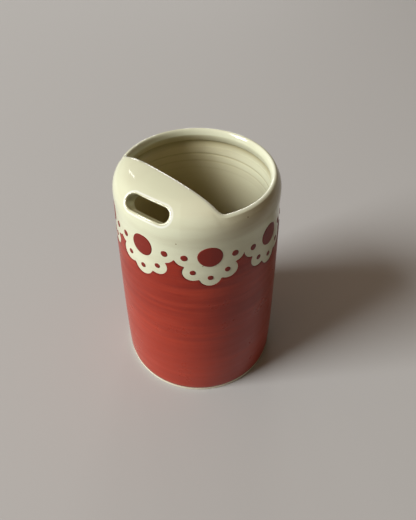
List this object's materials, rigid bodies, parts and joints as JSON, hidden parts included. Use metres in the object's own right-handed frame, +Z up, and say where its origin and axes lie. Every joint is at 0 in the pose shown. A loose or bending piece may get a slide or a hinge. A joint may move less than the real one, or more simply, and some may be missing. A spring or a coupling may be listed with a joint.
{
  "type": "to-go cup",
  "caption": "Stoneware to-go cup with a tapered round wall, a domed sip cover over part of the mouth, a drinking slot and a red slip coat with a lace edge.",
  "frame": {"origin": "middle of the foot ring on the table", "axes": "+Z up along the cup's axis, -Y towards the sip slot"},
  "size_m": [0.0852, 0.0852, 0.1246],
  "materials": {
    "cream_glaze": "clear glossy glaze over cream stoneware, bare on the foot",
    "red_slip": "brushed red slip under clear glossy glaze"
  },
  "bodies": {
    "root": {"thrown_body": "cream_glaze", "sip_cover": "cream_glaze", "red_slip_coat": "red_slip", "eyelet_1_big": "red_slip", "eyelet_1_link_left": "red_slip", "eyelet_1_petal_left": "red_slip", "eyelet_1_petal_low": "red_slip", "eyelet_1_petal_right": "red_slip", "eyelet_1_link_right": "red_slip", "eyelet_2_big": "red_slip", "eyelet_2_link_left": "red_slip", "eyelet_2_petal_left": "red_slip", "eyelet_2_petal_low": "red_slip", "eyelet_2_petal_right": "red_slip", "eyelet_2_link_right": "red_slip", "eyelet_3_big": "red_slip", "eyelet_3_link_left": "red_slip", "eyelet_3_petal_left": "red_slip", "eyelet_3_petal_low": "red_slip", "eyelet_3_petal_right": "red_slip", "eyelet_3_link_right": "red_slip", "eyelet_4_big": "red_slip", "eyelet_4_link_left": "red_slip", "eyelet_4_petal_left": "red_slip", "eyelet_4_petal_low": "red_slip", "eyelet_4_petal_right": "red_slip", "eyelet_4_link_right": "red_slip", "eyelet_5_big": "red_slip", "eyelet_5_link_left": "red_slip", "eyelet_5_petal_left": "red_slip", "eyelet_5_petal_low": "red_slip", "eyelet_5_petal_right": "red_slip", "eyelet_5_link_right": "red_slip", "eyelet_6_big": "red_slip", "eyelet_6_link_left": "red_slip", "eyelet_6_petal_left": "red_slip", "eyelet_6_petal_low": "red_slip", "eyelet_6_petal_right": "red_slip", "eyelet_6_link_right": "red_slip", "eyelet_7_big": "red_slip", "eyelet_7_link_left": "red_slip", "eyelet_7_petal_left": "red_slip", "eyelet_7_petal_low": "red_slip", "eyelet_7_petal_right": "red_slip", "eyelet_7_link_right": "red_slip", "eyelet_8_big": "red_slip", "eyelet_8_link_left": "red_slip", "eyelet_8_petal_left": "red_slip", "eyelet_8_petal_low": "red_slip", "eyelet_8_petal_right": "red_slip", "eyelet_8_link_right": "red_slip"}
  },
  "joints": []
}
